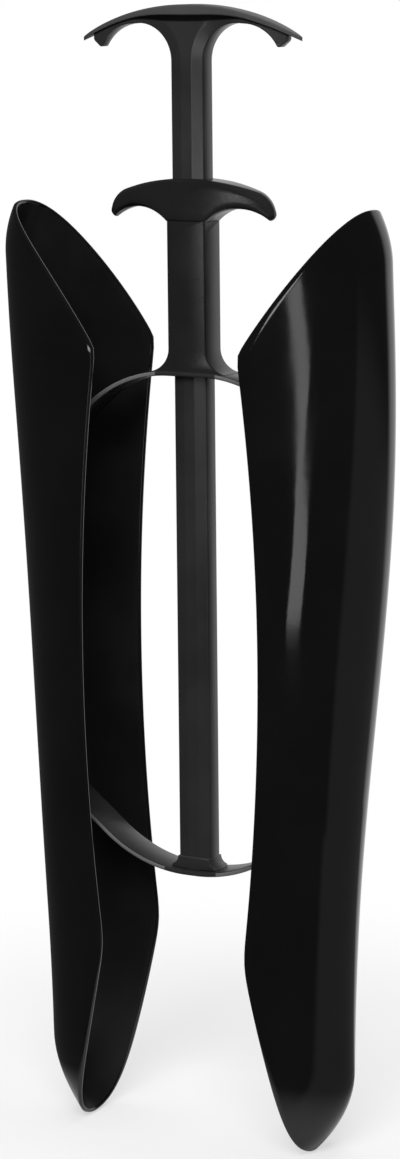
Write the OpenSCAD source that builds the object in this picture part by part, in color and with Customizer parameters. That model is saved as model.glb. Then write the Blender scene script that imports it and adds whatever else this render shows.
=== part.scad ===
// Boot shaper: a hand-squeezed spreader for the shaft of a tall boot.
// Millimetres. Z is up along the rod, X points from shell to shell, the shin side faces -Y.
// Z = 0 is the lowest tip of the shells, and the rod stands on the Z axis.

/* [Shells] */
// Height of a shell from its lower tip to its upper tip
shell_h = 332.5; // [300:0.5:360]
// Thickness of the shell's wall
shell_wall = 1.8; // [1.4:0.1:2.4]
// Height of the rim's lower corner
corner_low_z = 71; // [60:1:80]
// Height of the rim's upper corner
corner_high_z = 283; // [275:1:292]
// Rod axis to the rim at its lower corner
rim_low_x = 28.4; // [26:0.1:32]
// Rod axis to the rim halfway between its corners
rim_mid_x = 35.2; // [33:0.1:38]
// Rod axis to the rim at its upper corner
rim_high_x = 28; // [26:0.1:32]
// Rod axis to the shell's back at the ankle
back_low_x = 60.7; // [58:0.1:64]
// Rod axis to the shell's back at the calf
back_high_x = 74.6; // [70:0.1:78]
// Height where the back starts to swell towards the calf
swell_low_z = 31; // [20:1:50]
// Height where the back has its full swell
swell_high_z = 299; // [270:1:310]
// How far the lower tip curls in towards the rod
toe_in = 15.4; // [10:0.2:18]
// Height over which the lower tip curls in
toe_h = 31; // [24:1:40]
// How far the upper tip curls in towards the rod
tip_in = 5.4; // [2:0.2:8]
// Height over which the upper tip curls in
tip_h = 19; // [14:1:28]
// Half width of the trough at its lower end
half_low = 20.4; // [19:0.1:23]
// Half width of the trough at its upper end
half_high = 21.3; // [20:0.1:24]
// Squareness of the section at the lower end, where 2 is an ellipse
square_low = 1.87; // [1.7:0.01:2.4]
// Squareness of the section at the upper end
square_high = 2.43; // [2:0.01:2.8]
// Lean of the section towards the calf side at its fullest
calf_lean = 0.148; // [0:0.002:0.2]
// Height where the calf is fullest
calf_z = 210; // [180:1:240]
// Reach of the calf's fullness above and below that height
calf_reach = 132; // [100:1:160]
// Softening of the rim's corners
corner_soft = 1.2; // [0.5:0.1:4]

/* [Rod and handle] */
// Width of the rod along X
rod_w = 12.7; // [11:0.1:13.2]
// Depth of the rod along Y
rod_d = 8; // [7:0.1:8.6]
// Width of each bevel on the rod's faces
bevel_w = 4.3; // [2:0.1:4.8]
// Depth of each bevel on the rod's faces
bevel_d = 0.9; // [0.5:0.1:1.4]
// Height of the palm plate's crown
handle_top_z = 400; // [392:1:410]
// Half span of the palm plate
palm_half = 43; // [40:0.5:46]
// Depth of the palm plate along Y at its middle
palm_d = 9.6; // [9:0.1:14]
// Radius of the palm plate's upper face
palm_r = 89; // [82:1:110]
// Thickness of the palm plate at its middle
palm_t = 2.2; // [1.8:0.1:3]
// Thickness of the palm plate at its ends
palm_end_t = 1.3; // [1:0.1:1.8]
// Radius of a finger recess beside the stem
stem_arc_r = 12.8; // [11:0.1:13.4]
// Depth of the web between the palm plate and the top of that round
web_h = 2.2; // [1.6:0.1:2.8]
// Radius of a finger recess beside the tooth
tooth_arc_r = 13.9; // [13:0.1:14.1]
// Rod axis to the centre of the round beside the tooth
tooth_arc_x = 21.9; // [21:0.1:22]
// Depth of the web above that round
web_out_h = 1.8; // [1.2:0.1:2.2]
// Rod axis to the tooth's point
tooth_tip_x = 34.8; // [34:0.1:36]
// Height of the tooth's point below the palm plate
tooth_h = 6; // [5:0.1:7]
// Rod axis to the tooth's outer corner
tooth_out_x = 38.2; // [37.4:0.1:39.4]
// Height of the tooth's outer corner below the palm plate
tooth_out_h = 2; // [1:0.1:3]

/* [Sleeve and grip] */
// Width of the sleeve along X
sleeve_w = 15; // [14.8:0.1:17]
// Depth of the sleeve along Y
sleeve_d = 11; // [10.4:0.1:12]
// Height of the sleeve's foot, where it sits on the upper bow
sleeve_foot_z = 274.8; // [270:0.1:278]
// Height of the finger grip's crown
grip_top_z = 341.1; // [334:0.1:346]
// Half span of the finger grip
grip_half = 32.4; // [31:0.1:35]
// Depth of the finger grip along Y at its middle
grip_d = 12.2; // [12:0.1:16]
// Half length of the grip's middle, where it keeps its full depth
grip_flat = 8; // [6:0.5:16]
// Height of the finger grip from its lower edge at the sleeve to its crown
grip_h = 14.9; // [13.6:0.1:17]
// Radius of the grip's crown
crown_r = 85; // [70:1:120]
// Radius of the grip's shoulders
shoulder_r = 9.8; // [8:0.1:10.6]
// Height of the grip's hooked ends above its lower edge at the sleeve
hook_h = 1; // [0.5:0.1:1.6]
// Radius of the finger hollows under the grip
hollow_r = 17.3; // [16:0.1:19]
// Rod axis to the middle of a finger hollow
hollow_x = 19.6; // [18.6:0.1:20.4]
// Height of a finger hollow above the grip's lower edge
hollow_h = 4.9; // [3.8:0.1:5.6]
// Radius of the fillets where the foot runs into the bow
foot_r = 7.5; // [5:0.1:8.5]
// Thickness of the foot's edge
foot_lip = 0.5; // [0.3:0.1:1]
// Clearance between the rod and the sleeve's bore, all round
slide_gap = 0.25; // [0.15:0.01:0.35]

/* [Bows] */
// Thickness of both bow strips
leaf_t = 1.6; // [1.2:0.1:2]
// Width of both bow strips along Y
leaf_w = 14; // [12.6:0.1:16]
// Radius of the upper bow's curve at mid thickness
high_r = 48; // [44:0.5:54]
// Half length of the upper bow's straight middle
high_flat = 7; // [5:0.1:8]
// Rod axis to the upper bow's root, where it starts to flex
high_root_x = 17; // [16:0.1:19]
// Radius of the lower bow's curve at mid thickness
low_r = 52.2; // [49:0.1:56]
// Half length of the lower bow's straight middle
low_flat = 2; // [1:0.1:4]
// Rod axis to the lower bow's root, where it starts to flex
low_root_x = 15; // [13:0.1:17]
// Height of the lower bow's underside at the rod
low_bow_z = 96.2; // [94:0.1:99]
// Height of the pins that hold the upper bow's ends
high_pin_z = 239; // [236:0.5:242]
// Height of the pins that hold the lower bow's ends
low_pin_z = 126.5; // [124:0.5:129]
// Distance of the upper pins from the shell's inner face
high_pin_off = 7.4; // [7.2:0.1:9]
// Distance of the lower pins from the shell's inner face
low_pin_off = 5.2; // [4.8:0.1:7]
// Radius of the hinge pins
pin_r = 1.25; // [1:0.05:1.5]
// Clearance of the hinge pins in their ears and in the lower eyes
pin_gap = 0.06; // [0.03:0.01:0.09]
// Play of the hinge pins in the upper eyes, which takes up the bows' uneven swing
eye_play = 0.75; // [0.7:0.01:0.9]
// Width along Y of an arm's eye, which passes between two ears
eye_w = 9; // [7:0.1:9.2]
// Wall of an eye around its bore
eye_wall = 1.2; // [1:0.05:1.5]
// Thickness of an ear
ear_t = 2; // [1.6:0.1:2.2]
// Wall of an ear around its bore
ear_wall = 1.75; // [1.4:0.05:2]
// Clearance between a bow's eye and the ears beside it
ear_gap = 0.3; // [0.2:0.05:0.5]
// Clearance where a bow's flexing arm meets its middle
root_gap = 0.2; // [0.12:0.02:0.3]

/* [Foot screw] */
// Radius of the screw's thread
screw_r = 1.4; // [1.2:0.05:1.6]
// Length of the screw
screw_l = 13; // [10:0.5:16]
// Radius of the screw's countersunk head
screw_head_r = 2.8; // [2.4:0.1:3]

/* [Hidden] */
$fn = 64;
// Reach of forms that cut away everything beyond a line
big = 500;
black = [0.06, 0.06, 0.065];
soft_black = [0.09, 0.09, 0.095];
steel = [0.62, 0.62, 0.64];

// Clearance of a seat between two pieces that are fixed to each other
seat_gap = 0.05;
// Small step that keeps a form clear of the face it runs into
fair_step = 0.02;
// How far a straight part of a strip reaches into the curved part
fair_reach = 0.4;
// Overlap of forms that are joined, or that cut through
overlap = 1;
// Facets of the large curves and of the middle ones
large_curve = 256;
middle_curve = 128;
// Rows of points along the shell's lower end, its middle and its upper end, and steps across it
low_rows = 14;
mid_rows = 18;
high_rows = 14;
across = 20;
// Steps of the searches for a height or an angle
search_steps = 24;
// Height over which a rim corner is softened
soft_reach = 9;

foot_half = sleeve_w / 2 + foot_r;
spigot_wall = 0.8;
flange_h = 2.8;
flange_edge = 1;
flange_half = rod_w / 2 + flange_h;
flange_d = rod_d + 2;

// Everything below is worked out from the sizes above.

function limit(v, low, high) = max(low, min(high, v));
function swell(u) = (1 - cos(180 * limit(u, 0, 1))) / 2;

// Distance from the rod's axis to the shell's back at a height
function back_x(z) = back_low_x
    + (back_high_x - back_low_x) * swell((z - swell_low_z) / (swell_high_z - swell_low_z))
    - toe_in * pow(limit(1 - z / toe_h, 0, 1), 2)
    - tip_in * pow(limit((z - shell_h + tip_h) / tip_h, 0, 1), 2);

// The line between the rim's corners, a shallow hollow curve
function waist_x(z) = let(
        mid_z = (corner_high_z + corner_low_z) / 2,
        s = (z - mid_z) / (corner_high_z - mid_z),
        rim_x = s > 0 ? rim_high_x : rim_low_x)
    rim_mid_x - (rim_mid_x - rim_x) * pow(min(abs(s), 1), 2);

// The slanting ends of the rim, steeper near the tips
end_lead = 0.82;
function slant_x(u, from_x, to_x) = from_x
    + (to_x - from_x) * (end_lead * u + (1 - end_lead) * u * abs(u));
function high_end_x(z) = slant_x((z - corner_high_z) / (shell_h - corner_high_z),
    rim_high_x, back_x(shell_h));
function low_end_x(z) = slant_x((corner_low_z - z) / corner_low_z, rim_low_x, back_x(0));

// The corners between the three lines are softened over a short height
function soft(z, corner_z) = corner_soft * limit(1 - pow((z - corner_z) / soft_reach, 2), 0, 1);
function soft_max(a, b, k) = (a + b + sqrt(pow(a - b, 2) + k * k)) / 2;
function rim_x(z) = z > (corner_high_z + corner_low_z) / 2
    ? soft_max(waist_x(z), high_end_x(z), soft(z, corner_high_z))
    : soft_max(waist_x(z), low_end_x(z), soft(z, corner_low_z));

function half_w(z) = half_low + (half_high - half_low) * z / shell_h;
function squareness(z) = square_low + (square_high - square_low) * z / shell_h;
function lean(z) = calf_lean * (1 - swell(abs(z - calf_z) / calf_reach));

// A point of the section at height z: a rounded trough that opens towards the rod.
// The angle runs from -90 at the shin side to 90 at the calf side.
// Skin is the depth below the outer face.
function section_point(z, angle, skin) = let(
        e = 2 / squareness(z),
        reach = back_x(z) - skin - waist_x(z),
        out = reach * pow(max(cos(angle), 0), e),
        side = (half_w(z) - skin) * sign(angle) * pow(abs(sin(angle)), e))
    [waist_x(z) + out, side + lean(z) * out, z];

// The angle at which the section at height z meets the rim
function rim_angle(z, skin) = let(
        reach = back_x(z) - skin - waist_x(z),
        share = limit((rim_x(z) - waist_x(z)) / reach, 0, 1))
    acos(pow(share, squareness(z) / 2));

// The height between two others at which the rim runs into the back, seen at a depth below the outer face
function tip_z(inside, outside, skin, steps = search_steps) = steps == 0 ? (inside + outside) / 2
    : let(mid = (inside + outside) / 2)
    rim_x(mid) < back_x(mid) - skin ? tip_z(mid, outside, skin, steps - 1)
    : tip_z(inside, mid, skin, steps - 1);

// The section's angle at which it passes a given distance y from the middle
function side_angle(z, y, skin, low = -90, high = 90, steps = search_steps) =
    steps == 0 ? (low + high) / 2
    : let(mid = (low + high) / 2)
    section_point(z, mid, skin)[1] < y ? side_angle(z, y, skin, mid, high, steps - 1)
    : side_angle(z, y, skin, low, mid, steps - 1);
function skin_x(z, y, skin) = section_point(z, side_angle(z, y, skin), skin)[0];

// Heights of the rows of points from the lower tip to the upper tip, closer together at the tips
function row_heights(skin) = let(
        first = skin == 0 ? 0 : tip_z(corner_low_z, 0, skin),
        last = skin == 0 ? shell_h : tip_z(corner_high_z, shell_h, skin))
    [for (i = [1 : low_rows]) first + (corner_low_z - first) * (1 - cos(90 * i / low_rows)),
     for (i = [1 : mid_rows]) corner_low_z + (corner_high_z - corner_low_z) * i / mid_rows,
     for (i = [1 : high_rows - 1]) corner_high_z + (last - corner_high_z) * sin(90 * i / high_rows)];

function skin_tip(skin, upper) = let(
        z = upper ? (skin == 0 ? shell_h : tip_z(corner_high_z, shell_h, skin))
            : (skin == 0 ? 0 : tip_z(corner_low_z, 0, skin)))
    section_point(z, 0, skin);
function skin_points(skin) = [for (z = row_heights(skin))
    let(edge = rim_angle(z, skin))
    for (j = [0 : across]) section_point(z, edge * (2 * j / across - 1), skin)];

// Triangles between rows of a skin, with the tips as single points, turned over for the inner skin
row_count = low_rows + mid_rows + high_rows - 1;
row_len = across + 1;
last_row = (row_count - 1) * row_len;
function turned(f, over) = over ? [f[0], f[2], f[1]] : f;
function skin_faces(start, low_tip, high_tip, over) = [
    for (i = [0 : row_count - 2]) for (j = [0 : across - 1]) for (half = [0, 1])
        let(a = start + i * row_len + j, b = a + row_len)
        turned(half == 0 ? [a, b, a + 1] : [a + 1, b, b + 1], over),
    for (j = [0 : across - 1]) turned([low_tip, start + j, start + j + 1], over),
    for (j = [0 : across - 1])
        let(a = start + last_row + j)
        turned([a, high_tip, a + 1], over)];

// The narrow face of the rim, between the outer and the inner skin, on one side
function rim_faces(outer, inner, column, tips, over) = [
    for (i = [0 : row_count - 2]) for (half = [0, 1])
        let(a = outer + i * row_len + column, b = a + row_len,
            c = inner + i * row_len + column, d = c + row_len)
        turned(half == 0 ? [a, c, b] : [b, c, d], over),
    turned([tips[0], tips[1], outer + column], over),
    turned([outer + column, tips[1], inner + column], over),
    turned([tips[2], outer + last_row + column, tips[3]], over),
    turned([outer + last_row + column, inner + last_row + column, tips[3]], over)];

module shell_skin() {
    count = row_count * row_len;
    tips = [2 * count, 2 * count + 1, 2 * count + 2, 2 * count + 3];
    points = concat(skin_points(0), skin_points(shell_wall),
        [skin_tip(0, false), skin_tip(shell_wall, false), skin_tip(0, true), skin_tip(shell_wall, true)]);
    faces = concat(
        skin_faces(0, tips[0], tips[2], false),
        skin_faces(count, tips[1], tips[3], true),
        rim_faces(0, count, 0, tips, false),
        rim_faces(0, count, across, tips, true));
    polyhedron(points = points, faces = faces, convexity = 6);
}

// The hinge pins' places, set off from the shell's inner face
high_pin = [skin_x(high_pin_z, 0, shell_wall) - high_pin_off, high_pin_z];
low_pin = [skin_x(low_pin_z, 0, shell_wall) - low_pin_off, low_pin_z];
ear_in = eye_w / 2 + ear_gap;
ear_out = ear_in + ear_t;
ear_r = pin_r + pin_gap + ear_wall;

module across_y(depth) {
    translate([0, depth / 2, 0]) rotate([90, 0, 0])
        linear_extrude(depth) children();
}

// One ear: a lug with a round end that carries an end of a pin and grows out of the wall behind it
module ear(pin, side) {
    near_y = side * ear_in;
    far_y = side * ear_out;
    start_x = pin[0] - 2 * ear_r;
    intersection() {
        across_y(2 * ear_out + overlap) {
            translate(pin) circle(ear_r);
            translate([pin[0], pin[1] - ear_r]) square([back_high_x, 2 * ear_r]);
        }
        translate([0, 0, pin[1] - 2 * ear_r]) linear_extrude(4 * ear_r)
            polygon([[start_x, near_y], [skin_x(pin[1], near_y, shell_wall / 2), near_y],
                [skin_x(pin[1], far_y, shell_wall / 2), far_y], [start_x, far_y]]);
    }
}

module shell() {
    difference() {
        union() {
            shell_skin();
            for (pin = [high_pin, low_pin]) for (side = [-1, 1]) ear(pin, side);
        }
        for (pin = [high_pin, low_pin])
            across_y(2 * ear_out + overlap) translate(pin) circle(pin_r + pin_gap);
    }
}

module shell_right() { color(black) shell(); }
module shell_left() { color(black) mirror([1, 0, 0]) shell(); }

// A plain hinge pin, flush with the outer faces of its ears
module hinge_pin(pin) {
    color(steel) across_y(2 * ear_out) translate(pin) circle(pin_r);
}
module upper_pin_right() { hinge_pin(high_pin); }
module upper_pin_left() { mirror([1, 0, 0]) hinge_pin(high_pin); }
module lower_pin_right() { hinge_pin(low_pin); }
module lower_pin_left() { mirror([1, 0, 0]) hinge_pin(low_pin); }

// A bow's curve, drawn drooping from [0, 0]: straight, then an arc, then straight on to the pin.
// The arc ends where its tangent passes through the pin. The straight parts reach a little way into
// the arc, and are a hair thinner there.
function arc_end(flat, r, pin) = let(
        dx = pin[0] - flat,
        dz = r + pin[1])
    atan2(dx, dz) - acos(r / sqrt(dx * dx + dz * dz));
function arc_point(flat, r, angle) = [flat + r * sin(angle), r * cos(angle) - r];
function root_angle(flat, r, root_x) = asin((root_x - flat) / r);

module arc_strip(flat, r, from, to) {
    translate([flat, -r]) intersection() {
        difference() {
            circle(r + leaf_t / 2, $fn = large_curve);
            circle(r - leaf_t / 2, $fn = large_curve);
        }
        polygon([[0, 0], 2 * r * [sin(from), cos(from)],
            3 * r * [sin((from + to) / 2), cos((from + to) / 2)], 2 * r * [sin(to), cos(to)]]);
    }
}

// A straight part of a strip, from a point of its middle line on
module straight_strip(length) {
    translate([-fair_reach, fair_step - leaf_t / 2]) square([length + fair_reach, leaf_t - 2 * fair_step]);
}

// The fixed middle of a bow, out to its two roots
module leaf_middle(flat, r, root_x) {
    stop = root_angle(flat, r, root_x) - asin((leaf_t / 2 + root_gap) / r);
    translate([-flat, 0]) straight_strip(2 * flat + fair_reach);
    for (side = [0, 1]) mirror([side, 0]) arc_strip(flat, r, 0, stop);
}

// A flexing arm of a bow, from its rounded root to the narrower eye around its pin
module leaf_arm(flat, r, root_x, pin, play) {
    start = root_angle(flat, r, root_x);
    stop = arc_end(flat, r, pin);
    bend = arc_point(flat, r, stop);
    tail = norm(pin - bend);
    neck = ear_r + play + ear_gap;
    difference() {
        union() {
            across_y(leaf_w) {
                translate(arc_point(flat, r, start)) circle(leaf_t / 2 - fair_step);
                arc_strip(flat, r, start, stop);
                translate(bend) rotate(-stop) straight_strip(tail - neck);
            }
            across_y(eye_w) {
                translate(bend) rotate(-stop) straight_strip(tail);
                translate(pin) circle(pin_r + play + eye_wall);
            }
        }
        across_y(leaf_w) translate(pin) circle(pin_r + play);
    }
}

high_mid_z = sleeve_foot_z - leaf_t / 2;
low_mid_z = low_bow_z + leaf_t / 2;
spigot_w = rod_w + 2 * slide_gap + 2 * spigot_wall;
spigot_d = rod_d + 2 * slide_gap + 2 * spigot_wall;

// The upper bow's middle, with a window for the sleeve's spigot
module upper_bow() {
    color(soft_black) difference() {
        translate([0, 0, high_mid_z]) across_y(leaf_w) leaf_middle(high_flat, high_r, high_root_x);
        translate([0, 0, high_mid_z])
            cube([spigot_w + 2 * seat_gap, spigot_d + 2 * seat_gap, 2 * leaf_t], center = true);
    }
}
module upper_arm() {
    color(soft_black) translate([0, 0, high_mid_z])
        leaf_arm(high_flat, high_r, high_root_x, high_pin - [0, high_mid_z], eye_play);
}
module upper_arm_right() { upper_arm(); }
module upper_arm_left() { mirror([1, 0, 0]) upper_arm(); }

// The countersunk head of the foot screw, flush with the bow's underside
module screw_head(grow) {
    translate([0, 0, -grow])
        cylinder(r1 = screw_head_r + 2 * grow, r2 = screw_r, h = screw_head_r - screw_r + 2 * grow);
}

// The lower bow is the same form turned over, with a countersunk hole for the foot screw
module lower_bow() {
    color(soft_black) difference() {
        translate([0, 0, low_mid_z]) mirror([0, 0, 1]) across_y(leaf_w)
            leaf_middle(low_flat, low_r, low_root_x);
        translate([0, 0, low_bow_z - leaf_t]) cylinder(r = screw_r + 2 * seat_gap, h = 3 * leaf_t);
        translate([0, 0, low_bow_z]) screw_head(2 * seat_gap);
    }
}
module lower_arm() {
    color(soft_black) translate([0, 0, low_mid_z]) mirror([0, 0, 1])
        leaf_arm(low_flat, low_r, low_root_x, [low_pin[0], low_mid_z - low_pin[1]], pin_gap);
}
module lower_arm_right() { lower_arm(); }
module lower_arm_left() { mirror([1, 0, 0]) lower_arm(); }

// The rod's outline seen from above: a flat box with a wide bevel on each face's long edges
module rod_outline(grow = 0) {
    w = rod_w / 2 + grow;
    d = rod_d / 2 + grow;
    polygon([[w, d - bevel_d], [w - bevel_w, d], [bevel_w - w, d], [-w, d - bevel_d],
        [-w, bevel_d - d], [bevel_w - w, -d], [w - bevel_w, -d], [w, bevel_d - d]]);
}

// An oval seen from above, which keeps its full depth over a flat middle
oval_steps = 24;
module oval(half, flat, depth) {
    polygon([for (side = [-1, 1]) for (i = [0 : oval_steps])
        let(turn = 180 * i / oval_steps - 90)
        [side * (flat + (half - flat) * cos(turn)), side * depth / 2 * sin(turn)]]);
}

// The palm plate is a crescent between two circles
palm_under_z = handle_top_z - palm_t;
function sagitta(r, x) = r - sqrt(r * r - x * x);
end_drop = sagitta(palm_r, palm_half) + palm_end_t - palm_t;
palm_under_r = (palm_half * palm_half + end_drop * end_drop) / (2 * end_drop);
function palm_under(x) = palm_under_z - sagitta(palm_under_r, x);

stem_arc = [rod_w / 2 + stem_arc_r, palm_under(rod_w / 2 + stem_arc_r) - web_h - stem_arc_r];
tooth_arc = [tooth_arc_x, palm_under(tooth_arc_x) - web_out_h - tooth_arc_r];

module palm_circle() {
    translate([0, palm_under_z - palm_under_r]) circle(palm_under_r, $fn = large_curve);
}
module palm_plate() {
    intersection() {
        across_y(palm_d) difference() {
            translate([0, handle_top_z - palm_r]) circle(palm_r, $fn = large_curve);
            palm_circle();
        }
        translate([0, 0, handle_top_z - palm_r / 2]) linear_extrude(palm_r) oval(palm_half, 0, palm_d);
    }
}

// The outward direction of the line that touches two circles from above
function touch(a, ra, b, rb) = let(
        turn = atan2(b[1] - a[1], b[0] - a[0]) + acos((ra - rb) / norm(b - a)))
    [cos(turn), sin(turn)];

// A finger recess: two rounds and the line that joins their tops
module finger_recess() {
    up = touch(stem_arc, stem_arc_r, tooth_arc, tooth_arc_r);
    translate(stem_arc) circle(stem_arc_r, $fn = middle_curve);
    translate(tooth_arc) circle(tooth_arc_r, $fn = middle_curve);
    polygon([stem_arc, tooth_arc, tooth_arc + (tooth_arc_r - fair_step) * up,
        stem_arc + (stem_arc_r - fair_step) * up]);
}

// The web under the palm plate, with a tooth near each end, where the fingers' recesses end
module web() {
    tooth_z = palm_under(tooth_tip_x) - tooth_h;
    intersection() {
        palm_circle();
        difference() {
            for (side = [0, 1]) mirror([side, 0])
                polygon([[0, tooth_z], [tooth_tip_x, tooth_z],
                    [tooth_out_x, palm_under(tooth_out_x) - tooth_out_h],
                    [tooth_out_x, handle_top_z], [0, handle_top_z]]);
            translate([-tooth_arc_x, stem_arc[1] - big]) square([2 * tooth_arc_x, big]);
            for (side = [0, 1]) mirror([side, 0]) finger_recess();
        }
    }
}

// The stem widens into the web along the recesses' rounds, and its bevels follow them
module stem() {
    difference() {
        across_y(rod_d) intersection() {
            palm_circle();
            difference() {
                translate([-stem_arc[0], stem_arc[1]]) square([2 * stem_arc[0], big]);
                for (side = [0, 1]) mirror([side, 0]) finger_recess();
            }
        }
        for (side = [-1, 1]) for (face = [-1, 1]) intersection() {
            translate([side * stem_arc[0], face * (rod_d / 2 - bevel_d), stem_arc[1]])
                rotate([-90 * face, 0, 0])
                cylinder(r1 = stem_arc_r, r2 = stem_arc_r + 2 * bevel_w, h = 2 * bevel_d);
            translate([side > 0 ? 0 : -stem_arc[0], -rod_d, stem_arc[1]])
                cube([stem_arc[0], 2 * rod_d, big]);
        }
    }
}

// The rod's foot is a small flange that sits in the lower bow's curve
rod_foot_z = low_bow_z + leaf_t + seat_gap;
module above_lower_bow() {
    inner_r = low_r - leaf_t / 2 - seat_gap;
    middle_z = rod_foot_z + inner_r;
    for (side = [-1, 1]) translate([side * low_flat, middle_z]) circle(inner_r, $fn = large_curve);
    translate([-low_flat, rod_foot_z]) square([2 * low_flat, inner_r]);
}
module rod_foot() {
    shoulder_z = rod_foot_z + flange_edge;
    across_y(flange_d) intersection() {
        above_lower_bow();
        polygon([[-flange_half, 0], [flange_half, 0], [flange_half, shoulder_z],
            [rod_w / 2, shoulder_z + flange_h], [-rod_w / 2, shoulder_z + flange_h],
            [-flange_half, shoulder_z]]);
    }
}

module handle_rod() {
    color(soft_black) difference() {
        union() {
            palm_plate();
            across_y(rod_d - 2 * bevel_d) web();
            stem();
            translate([0, 0, rod_foot_z + flange_edge])
                linear_extrude(stem_arc[1] - rod_foot_z - flange_edge) rod_outline();
            rod_foot();
        }
        cylinder(r = screw_r + seat_gap, h = low_bow_z + screw_l + seat_gap);
    }
}

// The foot screw holds the lower bow against the rod's foot
module foot_screw() {
    color(steel) translate([0, 0, low_bow_z]) {
        screw_head(0);
        cylinder(r = screw_r, h = screw_l);
    }
}

// The finger grip seen from the front: a round crown, round shoulders, hooked ends and two finger hollows
grip_low_z = grip_top_z - grip_h;
crown_z = grip_top_z - crown_r;
shoulder_x = grip_half - shoulder_r;
crown_turn = asin(shoulder_x / (crown_r - shoulder_r));
shoulder_z = crown_z + (crown_r - shoulder_r) * cos(crown_turn);
module grip_outline() {
    difference() {
        union() {
            intersection() {
                translate([0, crown_z]) circle(crown_r, $fn = large_curve);
                polygon([[-shoulder_x, grip_low_z], [shoulder_x, grip_low_z], [shoulder_x, shoulder_z],
                    [2 * crown_r * sin(crown_turn), crown_z + 2 * crown_r * cos(crown_turn)],
                    [-2 * crown_r * sin(crown_turn), crown_z + 2 * crown_r * cos(crown_turn)],
                    [-shoulder_x, shoulder_z]]);
            }
            for (side = [-1, 1])
                translate([side * shoulder_x, shoulder_z]) circle(shoulder_r, $fn = middle_curve);
            translate([-grip_half, grip_low_z + hook_h])
                square([2 * grip_half, shoulder_z - grip_low_z - hook_h]);
        }
        for (side = [-1, 1]) {
            translate([side * hollow_x, grip_low_z + hollow_h - hollow_r])
                circle(hollow_r, $fn = middle_curve);
            translate([side * (hollow_x + grip_half / 2) - grip_half / 2, grip_low_z + hook_h - grip_h])
                square([grip_half, grip_h]);
        }
    }
}

// The sleeve's foot runs out into the bow along two fillets
module foot_outline() {
    difference() {
        translate([-foot_half, sleeve_foot_z]) square([2 * foot_half, foot_r + foot_lip]);
        for (side = [-1, 1])
            translate([side * foot_half, sleeve_foot_z + foot_r + foot_lip]) circle(foot_r);
    }
}
module grip_sleeve() {
    color(soft_black) difference() {
        union() {
            intersection() {
                across_y(grip_d) grip_outline();
                translate([0, 0, grip_low_z]) linear_extrude(grip_h) oval(grip_half, grip_flat, grip_d);
            }
            translate([-sleeve_w / 2, -sleeve_d / 2, sleeve_foot_z])
                cube([sleeve_w, sleeve_d, grip_low_z - sleeve_foot_z + overlap]);
            across_y(sleeve_d) foot_outline();
            translate([-spigot_w / 2, -spigot_d / 2, sleeve_foot_z - leaf_t])
                cube([spigot_w, spigot_d, leaf_t + overlap]);
        }
        translate([0, 0, sleeve_foot_z - leaf_t - overlap]) linear_extrude(big) rod_outline(slide_gap);
    }
}

handle_rod();
grip_sleeve();
upper_bow();
upper_arm_left();
upper_arm_right();
lower_bow();
lower_arm_left();
lower_arm_right();
shell_left();
shell_right();
upper_pin_left();
upper_pin_right();
lower_pin_left();
lower_pin_right();
foot_screw();
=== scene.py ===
import math
import bmesh
import bpy
from mathutils import Matrix, Vector


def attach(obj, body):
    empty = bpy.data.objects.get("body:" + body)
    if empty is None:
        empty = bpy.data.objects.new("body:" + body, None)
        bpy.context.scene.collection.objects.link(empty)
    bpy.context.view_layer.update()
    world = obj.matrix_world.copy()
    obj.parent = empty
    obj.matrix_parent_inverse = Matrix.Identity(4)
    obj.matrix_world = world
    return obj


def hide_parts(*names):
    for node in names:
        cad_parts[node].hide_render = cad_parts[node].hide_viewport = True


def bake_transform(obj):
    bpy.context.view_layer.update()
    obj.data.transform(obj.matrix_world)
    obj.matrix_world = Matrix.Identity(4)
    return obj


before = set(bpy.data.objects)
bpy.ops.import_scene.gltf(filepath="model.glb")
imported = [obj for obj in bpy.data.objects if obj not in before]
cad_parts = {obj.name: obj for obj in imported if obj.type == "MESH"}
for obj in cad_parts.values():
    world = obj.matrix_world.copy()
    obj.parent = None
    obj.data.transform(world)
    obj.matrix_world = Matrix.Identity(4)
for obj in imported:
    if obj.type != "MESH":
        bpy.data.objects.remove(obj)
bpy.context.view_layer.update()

# Handle and rod
# One black injection moulding: a flat rod with bevelled edges that widens into a web with two
# finger recesses, under a thin crescent for the palm. The rod's foot ends in a small flange.

MM = 0.001
rod_half, rod_deep = 6.35, 4.0
bevel_run, bevel_drop = 4.3, 0.9
edge_round = 0.45
palm_half, palm_deep, palm_top, palm_r = 43.0, 4.8, 400.0, 89.0
palm_thick, palm_end_thick = 2.2, 1.3
recess_r, web_high = 12.8, 2.2
tooth_round_r, tooth_round_x, web_out_high = 13.9, 21.9, 1.8
tooth_tip_x, tooth_drop, tooth_soft = 34.8, 6.0, 0.9
tooth_out_x, tooth_out_drop, tooth_corner = 38.2, 2.0, 0.5
web_fillet, plate_belly, belly_reach, overhang = 1.7, 1.5, 24.0, 0.7
# The web's relief fades along the arms and leaves the plate's rounded lip free
fade_from, fade_run, plate_lip, plate_end_deep = 14.0, 8.0, 0.4, 0.12
# The web's faces run a little way up into the plate, and each looks a little farther out than its edge
tuck, ahead = 0.6, 0.5
rod_foot_z = 97.85
flange_r, flange_flat, flange_half, flange_deep = 51.35, 2.0, 9.0, 4.5
flange_fillet, flange_high = 3.2, 1.3
weld_gap, least_edge, sharp_turn = 1e-7, 1e-8, math.radians(50)


def lerp(a, b, t):
    return a + (b - a) * t


def clamped(t):
    return min(max(t, 0.0), 1.0)


def smooth_step(t):
    t = clamped(t)
    return t * t * (3 - 2 * t)


def sagitta(r, x):
    return r - math.sqrt(r * r - x * x)


palm_end_fall = sagitta(palm_r, palm_half) + palm_end_thick - palm_thick
palm_under_r = (palm_half ** 2 + palm_end_fall ** 2) / (2 * palm_end_fall)


def palm_under(x):
    return palm_top - palm_thick - sagitta(palm_under_r, x)


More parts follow.
